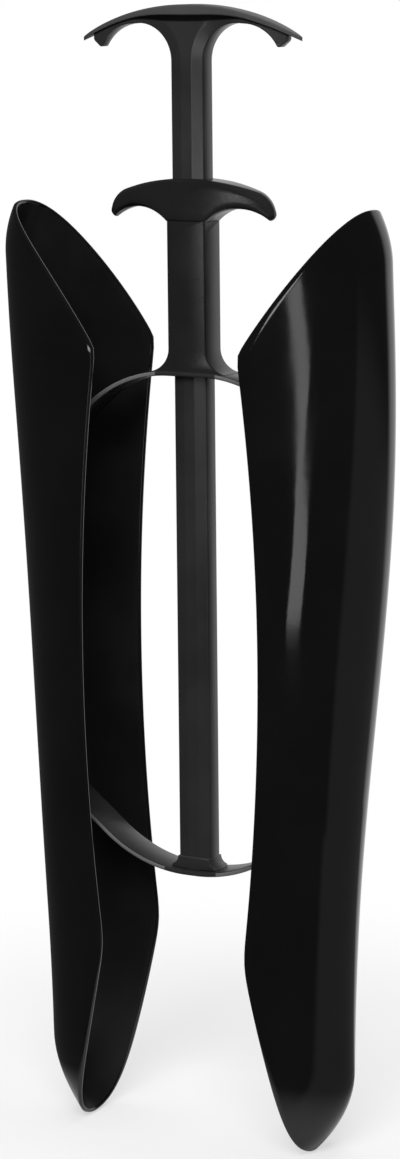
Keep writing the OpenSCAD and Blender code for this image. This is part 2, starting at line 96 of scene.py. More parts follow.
def plate_under(x):
    """The plate's own underside, thicker over the stem than the crescent's ends."""
    return palm_under(x) - plate_belly * (1 - smooth_step(abs(x) / belly_reach))


def plate_deep(x):
    return max(palm_deep * math.sqrt(max(1 - (x / palm_half) ** 2, 0)), plate_end_deep)


recess_x = rod_half + recess_r
recess_z = palm_under(recess_x) - web_high - recess_r
tooth_round_z = palm_under(tooth_round_x) - web_out_high - tooth_round_r


def outline_normals(points):
    """Unit normals of an open line of points, to its left."""
    result = []
    for i in range(len(points)):
        a, b = Vector(points[max(i - 1, 0)]), Vector(points[min(i + 1, len(points) - 1)])
        d = (b - a).normalized()
        result.append((-d.y, d.x))
    return result


def arc_points(centre, r, start, stop, steps):
    """Points on an arc seen from the front, without its first one."""
    turns = [lerp(start, stop, k / steps) for k in range(1, steps + 1)]
    return [(centre[0] + r * math.cos(turn), centre[1] + r * math.sin(turn)) for turn in turns]


def mesh_piece(name, points, faces, *materials, slots=None):
    """A new object from points in millimetres, its normals turned out and its sharp edges marked."""
    mesh = bpy.data.meshes.new(name)
    mesh.from_pydata([(x * MM, y * MM, z * MM) for x, y, z in points], [], faces)
    for material in materials:
        mesh.materials.append(material)
    if slots:
        mesh.polygons.foreach_set("material_index", slots)
    work = bmesh.new()
    work.from_mesh(mesh)
    bmesh.ops.remove_doubles(work, verts=work.verts, dist=weld_gap)
    bmesh.ops.dissolve_degenerate(work, edges=work.edges, dist=least_edge)
    bmesh.ops.recalc_face_normals(work, faces=work.faces)
    work.to_mesh(mesh)
    work.free()
    mesh.shade_smooth()
    mesh.set_sharp_from_angle(angle=sharp_turn)
    piece = bpy.data.objects.new(name, mesh)
    bpy.context.collection.objects.link(piece)
    return piece


def ring_faces(rings, size, loop=True, closed=False):
    """Quads between rings of points; a loop goes round each ring, closed joins the last to the first."""
    count = rings if closed else rings - 1
    across = size if loop else size - 1
    return [(i * size + j, i * size + (j + 1) % size,
             (i + 1) % rings * size + (j + 1) % size, (i + 1) % rings * size + j)
            for i in range(count) for j in range(across)]


def capped_rings(rings, size):
    """Quads between rings of points, and a face over the first ring and the last one."""
    return ring_faces(rings, size) + [tuple(range(size)), tuple(range((rings - 1) * size, rings * size))]


def rounded_oblong(half_a, half_b, r_a, r_b, steps):
    """Points round an oblong with oval corners, steps + 1 on each corner."""
    ring = []
    for quarter, (side_a, side_b) in enumerate(((1, 1), (-1, 1), (-1, -1), (1, -1))):
        for k in range(steps + 1):
            turn = math.pi / 2 * (quarter + k / steps)
            ring.append((side_a * (half_a - r_a) + r_a * math.cos(turn),
                         side_b * (half_b - r_b) + r_b * math.sin(turn)))
    return ring


def mirrored(points, faces, axis):
    """The points and faces with their mirror image, which meets them in the middle plane."""
    count = len(points)
    image = [tuple(-c if k == axis else c for k, c in enumerate(p)) for p in points]
    return points + image, faces + [tuple(count + i for i in reversed(f)) for f in faces]


def bull_nose(path, inner, half_deep, rounding, round_steps=4, most=0.85):
    """A quarter of a moulding, x and -y: each path point with its inward normal carries a section from
    the middle of the side wall, round the edge and along its inner points. The rounding takes at most
    the given share of the half depth."""
    points, size = [], 0
    for (x, z, nx, nz), line in zip(path, inner):
        first = (x + nx * rounding, z + nz * rounding)
        deep = half_deep(*first)
        r = min(rounding, most * deep)
        section = [(x, 0.0, z), (x, -(deep - r), z)]
        for k in range(1, round_steps + 1):
            turn = math.pi / 2 * k / round_steps
            move = r * (1 - math.cos(turn)) * rounding / r
            section.append((x + nx * move, -(deep - r + r * math.sin(turn)), z + nz * move))
        section += [(u, -half_deep(u, v), v) for u, v in line]
        size = len(section)
        points += section
    return points, ring_faces(len(path), size, loop=False)


def new_noise(nodes, links, place, scale, detail):
    noise = nodes.new("ShaderNodeTexNoise")
    noise.inputs["Scale"].default_value = scale
    noise.inputs["Detail"].default_value = detail
    links.new(place.outputs["Object"], noise.inputs["Vector"])
    return noise.outputs["Fac"]


def new_range(nodes, links, value, low, high, to_low=0.0, to_high=1.0):
    """A value between low and high, brought to lie between two others."""
    step = nodes.new("ShaderNodeMapRange")
    for socket, number in (("From Min", low), ("From Max", high), ("To Min", to_low), ("To Max", to_high)):
        step.inputs[socket].default_value = number
    links.new(value, step.inputs["Value"])
    return step.outputs["Result"]


def new_mix(nodes, links, share, first, second):
    """Two colours, each a colour or another step's output, mixed by a share."""
    step = nodes.new("ShaderNodeMix")
    step.data_type = "RGBA"
    links.new(share, step.inputs["Factor"])
    for socket, colour in (("A", first), ("B", second)):
        if isinstance(colour, tuple):
            step.inputs[socket].default_value = (*colour, 1)
        else:
            links.new(colour, step.inputs[socket])
    return step.outputs["Result"]


def new_bump(nodes, links, height, strength, deep, under=None):
    """A bump by a height, over another bump where one is given."""
    step = nodes.new("ShaderNodeBump")
    step.inputs["Strength"].default_value = strength
    step.inputs["Distance"].default_value = deep
    links.new(height, step.inputs["Height"])
    if under:
        links.new(under, step.inputs["Normal"])
    return step.outputs["Normal"]


def plastic(name, dark, light, rough, grain, peel, edge_scuff_and_highlight, level):
    """Black moulded plastic: two close shades in soft clouds, an uneven gloss, a fine grain over a slow
    ripple, and outer edges lightened, partly as wear from handling and partly as a painted highlight."""
    cloud_scale, grain_scale, ripple_scale = 38, 1900, 160
    cloud_range, gloss_range = (0.35, 0.65), (0.3, 0.7)
    grain_deep, ripple_deep = 0.0001, 0.0004
    scuff_and_highlight_tone, scuff_and_highlight_from, scuff_and_highlight_to = (0.11, 0.11, 0.112), 0.53, 0.62
    material = bpy.data.materials.new(name)
    material.use_nodes = True
    nodes, links = material.node_tree.nodes, material.node_tree.links
    shader = nodes["Principled BSDF"]
    shader.inputs["Specular IOR Level"].default_value = level
    place = nodes.new("ShaderNodeTexCoord")
    clouds = new_noise(nodes, links, place, cloud_scale, 4)
    fine = new_noise(nodes, links, place, grain_scale, 3)
    slow = new_noise(nodes, links, place, ripple_scale, 1)
    shade = new_mix(nodes, links, new_range(nodes, links, clouds, *cloud_range), dark, light)
    # Outer edges turn paler: partly wear, partly a painted highlight along them
    edge = nodes.new("ShaderNodeNewGeometry").outputs["Pointiness"]
    scuff_and_highlight_share = new_range(nodes, links, edge, scuff_and_highlight_from, scuff_and_highlight_to, to_high=edge_scuff_and_highlight)
    links.new(new_mix(nodes, links, scuff_and_highlight_share, shade, scuff_and_highlight_tone), shader.inputs["Base Color"])
    links.new(new_range(nodes, links, clouds, *gloss_range, *rough), shader.inputs["Roughness"])
    skin = new_bump(nodes, links, fine, grain, grain_deep)
    links.new(new_bump(nodes, links, slow, peel, ripple_deep, under=skin), shader.inputs["Normal"])
    return material


satin_black = plastic("satin_black_plastic", (0.016, 0.016, 0.0165), (0.024, 0.024, 0.0248),
                      rough=(0.2, 0.28), grain=0.2, peel=0.05, edge_scuff_and_highlight=0.2, level=0.5)


def new_math(nodes, links, how, first, second):
    step = nodes.new("ShaderNodeMath")
    step.operation = how
    for socket, value in zip(step.inputs, (first, second)):
        if isinstance(value, (int, float)):
            socket.default_value = value
        else:
            links.new(value, socket)
    return step.outputs[0]


def eased(nodes, links, value, low, high):
    """Nothing up to the low value, all from the high one, with a soft change between."""
    step = nodes.new("ShaderNodeMapRange")
    step.interpolation_type = "SMOOTHSTEP"
    step.inputs["From Min"].default_value = low
    step.inputs["From Max"].default_value = high
    links.new(value, step.inputs["Value"])
    return step.outputs["Result"]


# Painted shade: the cove right under the plate is painted near black and less glossy, standing in for the
# deep shade there, which thins out along the arms. A curve holds the height at which the painted shade
# starts, over the distance from the middle.
cove_high, cove_end_high, cove_soft, cove_span, cove_base = 1.7, 0.2, 0.7, 40.0, 360.0
cove_from, cove_run, cove_steps = 6.0, 18.0, 16
cove_painted_shade_tone, cove_painted_shade_gloss_cut = (0.0025, 0.0025, 0.0025), 0.4
nodes, links = satin_black.node_tree.nodes, satin_black.node_tree.links
shader = nodes["Principled BSDF"]
parts = nodes.new("ShaderNodeSeparateXYZ")
links.new(nodes.new("ShaderNodeTexCoord").outputs["Object"], parts.inputs[0])
aside = new_math(nodes, links, "ABSOLUTE", parts.outputs["X"], 0.0)
aside = new_math(nodes, links, "MULTIPLY", aside, 1 / (cove_span * MM))
curve = nodes.new("ShaderNodeFloatCurve")
line = curve.mapping.curves[0].points
heights = []
for k in range(cove_steps + 1):
    x = cove_span * k / cove_steps
    high = lerp(cove_high, cove_end_high, smooth_step((x - cove_from) / cove_run))
    heights.append((plate_under(x) - high - cove_base) / cove_span)
line[0].location, line[1].location = (0, heights[0]), (1, heights[-1])
for k in range(1, cove_steps):
    line.new(k / cove_steps, heights[k])
curve.mapping.update()
links.new(aside, curve.inputs["Value"])
high = new_math(nodes, links, "MULTIPLY", parts.outputs["Z"], 1 / (cove_span * MM))
high = new_math(nodes, links, "SUBTRACT", high, cove_base / cove_span)
shade = eased(nodes, links, new_math(nodes, links, "SUBTRACT", high, curve.outputs["Value"]),
              -cove_soft / cove_span, 0.0)
# The painted shade turns the base colour near black and lowers the gloss in the cove
tone = shader.inputs["Base Color"].links[0].from_socket
links.new(new_mix(nodes, links, shade, tone, cove_painted_shade_tone), shader.inputs["Base Color"])
gleam = new_math(nodes, links, "SUBTRACT", 0.5, new_math(nodes, links, "MULTIPLY", shade, cove_painted_shade_gloss_cut))
links.new(gleam, shader.inputs["Specular IOR Level"])

# Painted light: the palm plate takes a lighter black than the rest of the moulding, standing in for the light
# that its top and front edge catch
palm_painted_light_black = plastic("palm_painted_light_plastic", (0.045, 0.045, 0.046), (0.062, 0.062, 0.063),
                       rough=(0.34, 0.44), grain=0.3, peel=0.06, edge_scuff_and_highlight=0.3, level=0.5)


def recess_distance(x, z):
    """How far a point of the stem lies outside the round beside it."""
    return math.hypot(x - recess_x, z - recess_z) - recess_r


def handle_deep(x, z):
    """Half depth of rod, stem and web at a place seen from the front."""
    web = min(rod_deep - bevel_drop, plate_deep(x) - overhang)
    if z < recess_z:
        return web + bevel_drop * clamped((rod_half - x) / bevel_run)
    fade = 1 - smooth_step((x - fade_from) / fade_run)
    raised = bevel_drop * clamped(recess_distance(x, z) / bevel_run) * fade
    near = clamped(1 - (plate_under(x) - z) / web_fillet)
    reach = min(web_fillet, max(plate_deep(x) - plate_lip - web - raised, 0)) * fade
    return web + raised + reach * (1 - math.sqrt(1 - near * near))


def tooth_tip(step=0.01):
    """The centre of the tooth's round tip, which touches the recess round and the outer flank."""
    round_middle = Vector((tooth_round_x, tooth_round_z))
    low = Vector((tooth_tip_x, palm_under(tooth_tip_x) - tooth_drop))
    high = Vector((tooth_out_x, palm_under(tooth_out_x) - tooth_out_drop))
    along = (high - low).normalized()
    across = Vector((-along.y, along.x))
    t = 0.0
    while (low + along * t + across * tooth_soft - round_middle).length < tooth_round_r + tooth_soft:
        t += step
    return low + along * t + across * tooth_soft, along, across, high


def handle_path(rod_rows=48, arc_steps=28, tip_steps=8, flank_steps=5):
    """The right edge of rod, recess and tooth from the foot up, and the places that its points look to."""
    line = [(rod_half, lerp(rod_foot_z, recess_z, k / rod_rows)) for k in range(rod_rows + 1)]
    ends = [(0.0, z) for _, z in line]
    apart = math.hypot(tooth_round_x - recess_x, tooth_round_z - recess_z)
    along = math.atan2(tooth_round_z - recess_z, tooth_round_x - recess_x)
    lift = along + math.acos((recess_r - tooth_round_r) / apart)
    for k, p in enumerate(arc_points((recess_x, recess_z), recess_r, math.pi, lift, arc_steps)):
        share = 2 * (k + 1) / arc_steps
        x = lerp(0, p[0] + ahead, share - 1)
        line.append(p)
        # Up the stem's middle first, then out along the plate's underside
        if share < 1:
            ends.append((0.0, lerp(recess_z, palm_under(0) + tuck, share)))
        else:
            ends.append((x, palm_under(x) + tuck))
    tip, slope, across, high = tooth_tip()
    down = math.atan2(tip.y - tooth_round_z, tip.x - tooth_round_x)
    for p in arc_points((tooth_round_x, tooth_round_z), tooth_round_r, lift, down, arc_steps):
        line.append(p)
        ends.append((p[0] + ahead, palm_under(p[0] + ahead) + tuck))
    flank = math.atan2(-across.y, -across.x)
    from_x = ends[-1][0]
    rest = arc_points(tip, tooth_soft, down - math.pi, flank, tip_steps)
    corner = high - slope * tooth_corner
    rest += [tuple(Vector(rest[-1]).lerp(corner, k / flank_steps)) for k in range(1, flank_steps + 1)]
    rest += [(tooth_out_x - 0.3 * tooth_corner, high.y + 0.2 * tooth_corner),
             (tooth_out_x, high.y + tooth_corner), (tooth_out_x, palm_under(tooth_out_x) + tooth_corner)]
    for k, p in enumerate(rest):
        u = lerp(from_x, tooth_out_x - tuck, (k + 1) / len(rest))
        line.append(p)
        ends.append((u, palm_under(u) + tuck))
    return [(x, z, nx, nz) for (x, z), (nx, nz) in zip(line, outline_normals(line))], ends


# Shares of the way from an edge to its crease, and on from the crease, at which the faces have points
bevel_shares = (0.2, 0.4, 0.6, 0.8, 0.94)
face_shares = (0.06, 0.3, 0.5, 0.65, 0.75, 0.82, 0.88, 0.93, 0.97, 1.0)
web_crease = 0.45
path, ends = handle_path()
inner = []
for (x, z, nx, nz), (u, v) in zip(path, ends):
    first = Vector((x + nx * edge_round, z + nz * edge_round))
    last = Vector((u, v))
    crease = Vector((x + nx * bevel_run, z + nz * bevel_run))
    if u > 0 or (last - first).length < bevel_run:
        crease = first.lerp(last, web_crease)
    inner.append([tuple(first.lerp(crease, t)) for t in bevel_shares] + [tuple(crease)]
                 + [tuple(crease.lerp(last, t)) for t in face_shares])
points, faces = bull_nose(path, inner, handle_deep, edge_round)
points, faces = mirrored(points, faces, 1)
points, faces = mirrored(points, faces, 0)


def palm_plate(rings=90, steps=5, reach=0.9995, rounding=0.8, most_high=0.62, most_deep=0.6):
    """The crescent: oval seen from above, with front and back edges whose rounding takes at most the
    given shares of its half height and half depth."""
    points = []
    for i in range(rings + 1):
        x = palm_half * math.sin(lerp(-math.pi / 2, math.pi / 2, i / rings)) * reach
        deep = plate_deep(x)
        top, under = palm_top - sagitta(palm_r, x), plate_under(x)
        mid, half = (top + under) / 2, (top - under) / 2
        r = min(most_high * half, rounding, most_deep * deep)
        points += [(x, y, mid + z) for y, z in rounded_oblong(deep, half, r, r, steps)]
    return points, capped_rings(rings + 1, 4 * steps + 4)


def joined(*parts):
    """Several closed forms of one moulding as one list of points and faces."""
    points, faces = [], []
    for some_points, some_faces in parts:
        faces += [tuple(len(points) + i for i in f) for f in some_faces]
        points += some_points
    return points, faces


def slab(outline, half_deep, rounding, steps=3, sharpest=0.2):
    """A flat plate of any outline seen from the front, with rounded edges. At a corner its normal grows
    until the bend is as tight as the sharpest."""
    count = len(outline)
    normals = []
    for i in range(count):
        before, after = Vector(outline[i - 1]), Vector(outline[(i + 1) % count])
        here = Vector(outline[i])
        a, b = (here - before).normalized(), (after - here).normalized()
        bend = Vector((-(a.y + b.y), a.x + b.x))
        normals.append(bend / max(bend.length_squared / 2, sharpest))
    points = []
    for front in (-1, 1):
        turns = [math.pi / 2 * k / steps for k in range(steps + 1)]
        for turn in (turns[::-1] if front < 0 else turns):
            move = rounding * (1 - math.cos(turn))
            y = front * (half_deep - rounding + rounding * math.sin(turn))
            points += [(p[0] + n.x * move, y, p[1] + n.y * move) for p, n in zip(outline, normals)]
    return points, capped_rings(2 * (steps + 1), count)


def flange_outline(low_steps=16, flare_steps=6, side_inset=0.25):
    """The flange flares from the rod and follows the hollow of the lower bow below it."""
    low = []
    for k in range(low_steps + 1):
        x = lerp(-flange_half, flange_half, k / low_steps)
        low.append((x, rod_foot_z + sagitta(flange_r, max(abs(x) - flange_flat, 0))))
    flare = []
    for k in reversed(range(flare_steps)):
        turn = math.pi / 2 * k / flare_steps
        x = rod_half + flange_fillet * (1 - math.cos(turn))
        flare.append((min(x, flange_half - side_inset),
                      rod_foot_z + flange_high + flange_fillet * (1 - math.sin(turn))))
    return low + flare + [(-x, z) for x, z in reversed(flare)]


plate, flange = palm_plate(), slab(flange_outline(), flange_deep, edge_round)
slots = [0] * len(faces) + [1] * len(plate[1]) + [0] * len(flange[1])
handle = mesh_piece("handle_rod_moulding", *joined((points, faces), plate, flange),
                    satin_black, palm_painted_light_black, slots=slots)
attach(handle, "rod")
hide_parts("handle_rod")

# Finger grip and sleeve
# A second black moulding that slides on the rod: a convex grip with two finger hollows, over a
# rectangular sleeve whose foot runs out along the upper bow in two fillets.

grip_top, grip_half, grip_deep, grip_high, grip_plan = 341.1, 32.4, 6.1, 14.9, 2.4
grip_low = grip_top - grip_high
crown_r, shoulder_r, hook_up = 85.0, 9.8, 1.0
hollow_r, hollow_x, hollow_up = 17.3, 19.6, 4.9
shoulder_x = grip_half - shoulder_r
crown_z = grip_top - crown_r
shoulder_z = crown_z + math.sqrt((crown_r - shoulder_r) ** 2 - shoulder_x ** 2)
tip_r, grip_end_deep = 2.0, 0.15
tip_z = grip_low + hook_up + tip_r
tip_x = shoulder_x + math.sqrt((shoulder_r - tip_r) ** 2 - (tip_z - shoulder_z) ** 2)
tip_cos = (tip_x - shoulder_x) / (shoulder_r - tip_r)
# Roundings along the depth and the height, in the grip's middle and at its ends
body_round, end_round, round_from, round_run, most_round = (1.8, 1.3), (3.2, 2.1), 9.0, 17.0, 0.94
sleeve_half, sleeve_deep, sleeve_foot, sleeve_round = 7.5, 5.5, 274.8, 0.6
foot_r, foot_lip, foot_below = 7.5, 0.15, 0.3
tube_from, tube_to = 283.2, 327.5
# The upper bow's outer skin, which the sleeve's foot follows
bow_skin_r, bow_flat = 48.8, 7.0
bore_gap, bore_low, bore_high = 0.25, 260, 350
spigot_wall, spigot_round, spigot_low, spigot_high = 0.8, 0.4, 1.6, 1.0


def grip_above(x):
    """The grip's top line: a flat arch, a tighter shoulder and the round tip of the hook."""
    if x > tip_x + tip_r * tip_cos:
        return tip_z + math.sqrt(max(tip_r ** 2 - (x - tip_x) ** 2, 0))
    meet = crown_r * shoulder_x / (crown_r - shoulder_r)
    if x < meet:
        return crown_z + math.sqrt(crown_r ** 2 - x * x)
    return shoulder_z + math.sqrt(max(shoulder_r ** 2 - (x - shoulder_x) ** 2, 0))


def grip_below(x):
    flat = grip_low if x < hollow_x else grip_low + hook_up
    if x > tip_x:
        flat = tip_z - math.sqrt(max(tip_r ** 2 - (x - tip_x) ** 2, 0))
    rise = hollow_r ** 2 - (x - hollow_x) ** 2
    hollow = grip_low + hollow_up - hollow_r + math.sqrt(rise) if rise > 0 else flat
    return max(flat, hollow)


def grip_thick(x):
    """Half depth: a gently bowed front that turns round at the ends."""
    return max(grip_deep * (1 - (abs(x) / grip_half) ** grip_plan) ** (1 / grip_plan), grip_end_deep)


def grip_body(columns=72, corner_steps=5, face_steps=4, reach=0.99995):
    """The grip as sections across it, boxy in the middle and nearly round at the ends."""
    points = []
    for i in range(-columns, columns + 1):
        x = (tip_x + tip_r) * math.sin(math.pi / 2 * i / columns) * reach
        top, low = grip_above(abs(x)), grip_below(abs(x))
        high, deep = (top - low) / 2, grip_thick(x)
        end = smooth_step((abs(x) - round_from) / round_run)
        r_y = min(lerp(body_round[0], end_round[0], end), most_round * deep)
        r_z = min(lerp(body_round[1], end_round[1], end), most_round * high)
        ring = rounded_oblong(deep, high, r_y, r_z, corner_steps)
        full = []
        for k, a in enumerate(ring):
            full.append(a)
            if k % (corner_steps + 1) == corner_steps:
                b = ring[(k + 1) % len(ring)]
                full += [(lerp(a[0], b[0], t / face_steps), lerp(a[1], b[1], t / face_steps))
                         for t in range(1, face_steps)]
        points += [(x, y, (top + low) / 2 + z) for y, z in full]
    return points, capped_rings(2 * columns + 1, len(full))


def bow_drop(x):
    """How far the upper bow has fallen below the sleeve's foot at a distance from the middle."""
    return sagitta(bow_skin_r, max(abs(x) - bow_flat, 0))


def sleeve_tube(foot_steps=14, tube_steps=8, corner_steps=4):
    """The sleeve from below the bow's skin, in along the foot's fillets and up into the grip."""
    rows = [(sleeve_foot - foot_below, sleeve_half + foot_r + sleeve_round)]
    for k in range(foot_steps + 1):
        turn = math.pi / 2 * k / foot_steps
        rows.append((sleeve_foot + foot_lip + foot_r * (1 - math.cos(turn)),
                     sleeve_half + foot_r * (1 - math.sin(turn))))
    rows += [(lerp(tube_from, tube_to, k / tube_steps), sleeve_half) for k in range(tube_steps + 1)]
    points = []
    for z, half in rows:
        ring = rounded_oblong(half, sleeve_deep, sleeve_round, sleeve_round, corner_steps)
        points += [(x, y, z - bow_drop(x)) for x, y in ring]
    return points, capped_rings(len(rows), len(ring))


def spigot(corner_steps=4):
    """The collar under the foot, which holds the upper bow's middle around the rod."""
    ring = rounded_oblong(rod_half + bore_gap + spigot_wall, rod_deep + bore_gap + spigot_wall,
                          spigot_round, spigot_round, corner_steps)
    points = [(x, y, z) for z in (sleeve_foot - spigot_low, sleeve_foot + spigot_high) for x, y in ring]
    return points, capped_rings(2, len(ring))


def rod_prism(gap, low, high):
    """The rod's section, wider all round by a gap, as a form to cut with."""
    w, d = rod_half + gap, rod_deep + gap
    corner = [(w, d - bevel_drop), (w - bevel_run, d), (bevel_run - w, d), (-w, d - bevel_drop),
              (-w, bevel_drop - d), (bevel_run - w, -d), (w - bevel_run, -d), (w, bevel_drop - d)]
    points = [(x, y, z) for z in (low, high) for x, y in corner]
    return points, capped_rings(2, len(corner))


def carve(piece, tools, how):
    """Joins forms to a piece or cuts them from it, and keeps the result as its mesh."""
    for tool in tools:
        step = piece.modifiers.new("carve", "BOOLEAN")
        step.operation = how
        step.solver = "EXACT"
        step.object = tool
    seen = bpy.context.evaluated_depsgraph_get()
    mesh = bpy.data.meshes.new_from_object(piece.evaluated_get(seen))
    piece.modifiers.clear()
    piece.data = mesh
    for tool in tools:
        bpy.data.objects.remove(tool)
    mesh.shade_smooth()
    mesh.set_sharp_from_angle(angle=sharp_turn)


grip_black = plastic("grip_black_plastic", (0.009, 0.009, 0.0094), (0.014, 0.014, 0.0145),
                     rough=(0.17, 0.23), grain=0.25, peel=0.03, edge_scuff_and_highlight=0.1, level=0.4)
grip = mesh_piece("finger_grip_moulding", *grip_body(), grip_black)
carve(grip, [mesh_piece("sleeve_form", *sleeve_tube(), grip_black),
             mesh_piece("spigot_form", *spigot(), grip_black)], "UNION")
carve(grip, [mesh_piece("bore_form", *rod_prism(bore_gap, bore_low, bore_high), grip_black)], "DIFFERENCE")
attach(grip, "sleeve")
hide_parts("grip_sleeve")

# The bows
# Two sprung strips of tough black plastic. The upper one droops from the sleeve's foot, the lower
# one rises from the rod's foot, and each arm ends in an eye round a steel pin.

leaf_half, leaf_thick, eye_half, eye_wall = 7.0, 1.6, 4.5, 1.2
pin_r, ear_r, ear_gap = 1.25, 3.06, 0.3
high_pin, low_pin = (62.9745, 239.0), (57.5674, 126.5)
# A strip narrows to its eye over a short way and ends inside the wall of the eye's barrel
neck_run, eye_grip, seam_lap, blend_lead = 2.2, 0.6, 0.2, 1.0
window_gap, window_low, window_high = 1.1, 268, 280
# Painted highlight: a paler black on the bows' front and back edges, standing in for the light that catches
# them
bow_painted_highlight = plastic("bow_painted_highlight_plastic", (0.11, 0.11, 0.112), (0.14, 0.14, 0.142),
                   rough=(0.3, 0.4), grain=0.2, peel=0.03, edge_scuff_and_highlight=0.1, level=0.5)


def bow_line(flat, r, pin, from_x, to_gap, steps=40, tail_steps=12):
    """Points and tangent angles along a drooping bow, from a place on its arc to the eye."""
    dx, dz = pin[0] - flat, r + pin[1]
    start = math.asin((from_x - flat) / r)
    stop = math.atan2(dx, dz) - math.acos(r / math.hypot(dx, dz))
    line = []
    for k in range(steps + 1):
        turn = lerp(start, stop, k / steps)
        line.append((flat + r * math.sin(turn), r * math.cos(turn) - r, turn))
    bend = Vector(line[-1][:2])
    tail = Vector(pin) - bend
    length = tail.length - to_gap
    for k in range(1, tail_steps + 1):
        p = bend + tail.normalized() * length * k / tail_steps
        line.append((p.x, p.y, stop))
    return line


def strip(line, width, dark_to=0.0, rounding=0.55, steps=4):
    """A strip with rounded edges along a line in the XZ plane; width gives its half width at a length. Slots
    tell its front and back edges from its skins; beyond dark_to the edges take the paler black of a painted
    highlight, and up to it they match the skins."""
    points, length, before = [], 0.0, None
    for x, z, turn in line:
        here = Vector((x, z))
        length += (here - before).length if before else 0.0
        before = here
        up = Vector((math.sin(turn), math.cos(turn)))
        for y, off in rounded_oblong(width(length), leaf_thick / 2, rounding, rounding, steps):
            p = here + up * off
            points.append((p.x, y, p.y))
    size = 4 * steps + 4
    front_edge = list(range(2 * steps - 1, 2 * steps + 4))
    back_edge = [size - 2, size - 1, 0, 1]
    slots = []
    for x, _, _ in line[:-1]:
        slots += [int(abs(x) > dark_to and j in front_edge + back_edge) for j in range(size)]
    return points, capped_rings(len(line), size), slots + [0, 0]


def barrel(centre, inner_r, outer_r, half, soft=0.25, turns=40):
    """A short tube along Y with softened edges."""
    section = [(inner_r, half - soft), (inner_r + soft, half), (outer_r - soft, half), (outer_r, half - soft)]
    section += [(r, -y) for r, y in reversed(section)]
    points = [(centre[0] + r * math.cos(2 * math.pi * i / turns), y,
               centre[1] + r * math.sin(2 * math.pi * i / turns)) for i in range(turns) for r, y in section]
    return points, ring_faces(turns, len(section), closed=True)


def placed(part, middle_z, over, side):
    """A part drawn drooping from the origin, put at its height, turned over and mirrored as asked."""
    points, faces = part
    flip = -1 if over else 1
    return [(side * x, y, middle_z + flip * z) for x, y, z in points], faces


def bow(which, base, pin, middle_z, over, flat, r, root_x, seam_x, play, edge_from):
    """A bow of three pieces: a middle, which rides the base and whose edges carry a painted highlight beyond
    edge_from, and two arms. The eyes run round the pins with some play."""
    local_pin = (pin[0], -abs(pin[1] - middle_z))
    bore_r = pin_r + play
    reach = bore_r + eye_grip
    line = bow_line(flat, r, local_pin, seam_x, reach)
    whole = sum((Vector(a[:2]) - Vector(b[:2])).length for a, b in zip(line, line[1:]))
    neck = whole + reach - (ear_r + play + ear_gap)

    def width(length):
        return lerp(leaf_half, eye_half, smooth_step((length - neck + neck_run) / neck_run))

    *leaf, arm_slots = strip(line, width)
    arm = joined(leaf, barrel(local_pin, bore_r, bore_r + eye_wall, eye_half))
    arm_slots += [0] * (len(arm[1]) - len(arm_slots))
    middle_line = bow_line(flat, r, local_pin, flat, reach, steps=60)
    right = [p for p in middle_line if p[0] < seam_x - seam_lap] + [line[0]]
    left = [(-x, z, -turn) for x, z, turn in reversed(right)]
    *middle, slots = strip(left + right, lambda length: leaf_half, edge_from)
    piece = mesh_piece(which + "_bow_middle", *placed(middle, middle_z, over, 1),
                       satin_black, bow_painted_highlight, slots=slots)
    if which == "upper":
        window = mesh_piece("window_form", *rod_prism(window_gap, window_low, window_high), satin_black)
        carve(piece, [window], "DIFFERENCE")
    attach(piece, base)
    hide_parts(which + "_bow")
    for side, word in ((1, "right"), (-1, "left")):
        piece = mesh_piece(which + "_bow_arm_" + word, *placed(arm, middle_z, over, side),
                           satin_black, bow_painted_highlight, slots=arm_slots)
        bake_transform(piece)
        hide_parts(which + "_arm_" + word)


bow("upper", "sleeve", high_pin, middle_z=274.0, over=False, flat=7.0, r=48.0,
    root_x=17.0, seam_x=12.0, play=0.75, edge_from=15.0)
bow("lower", "rod", low_pin, middle_z=97.0, over=True, flat=2.0, r=52.2,
    root_x=15.0, seam_x=10.5, play=0.06, edge_from=15.0)

# The shells
# Two thin glossy black troughs, moulded mirror images, that press against the inside of the boot's
# shaft. Their backs swell towards the calf and two pairs of small ears inside carry the pins.

shell_h, wall = 332.5, 1.8
corner_low, corner_high = 71.0, 283.0
rim_low, rim_mid, rim_high = 28.4, 35.2, 28.0
back_low, back_high, swell_low, swell_high = 60.7, 74.6, 31.0, 299.0
toe_in, toe_h, tip_in, tip_h = 15.4, 31.0, 5.4, 19.0
half_low, half_high, square_low, square_high = 20.4, 21.3, 1.87, 2.43
calf_lean, calf_z, calf_reach = 0.148, 210.0, 132.0
corner_soft, soft_reach, end_lead, waist_run = 1.2, 9.0, 0.82, 2.0
rim_round, rim_rows, slope_step, halvings = 0.8, 1400, 0.05, 40
ear_bore_r, ear_near, ear_far, ear_soft = 1.31, 4.8, 6.8, 0.3


def swell(u):
    return (1 - math.cos(math.pi * clamped(u))) / 2


def back_x(z):
    """The calf side's line, swelling upwards, with its toe and its tip curled in."""
    return (back_low + (back_high - back_low) * swell((z - swell_low) / (swell_high - swell_low))
            - toe_in * clamped(1 - z / toe_h) ** 2 - tip_in * clamped((z - shell_h + tip_h) / tip_h) ** 2)


def waist_x(z):
    """The foremost line of the sections, bowed between the corners and running on straight beyond them."""
    mid = (corner_high + corner_low) / 2
    s = (z - mid) / (corner_high - mid)
    rim, s = rim_high if s > 0 else rim_low, abs(s)
    bow = s * s if s < 1 else 1 + waist_run * (s - 1)
    return rim_mid - (rim_mid - rim) * bow


def slant(u, a, b):
    """The rim's run beyond a corner, bent a little."""
    return a + (b - a) * (end_lead * u + (1 - end_lead) * u * abs(u))


def soft_max(a, b, k):
    """The greater of two values, rounded off where they meet."""
    return (a + b + math.sqrt((a - b) ** 2 + k * k)) / 2


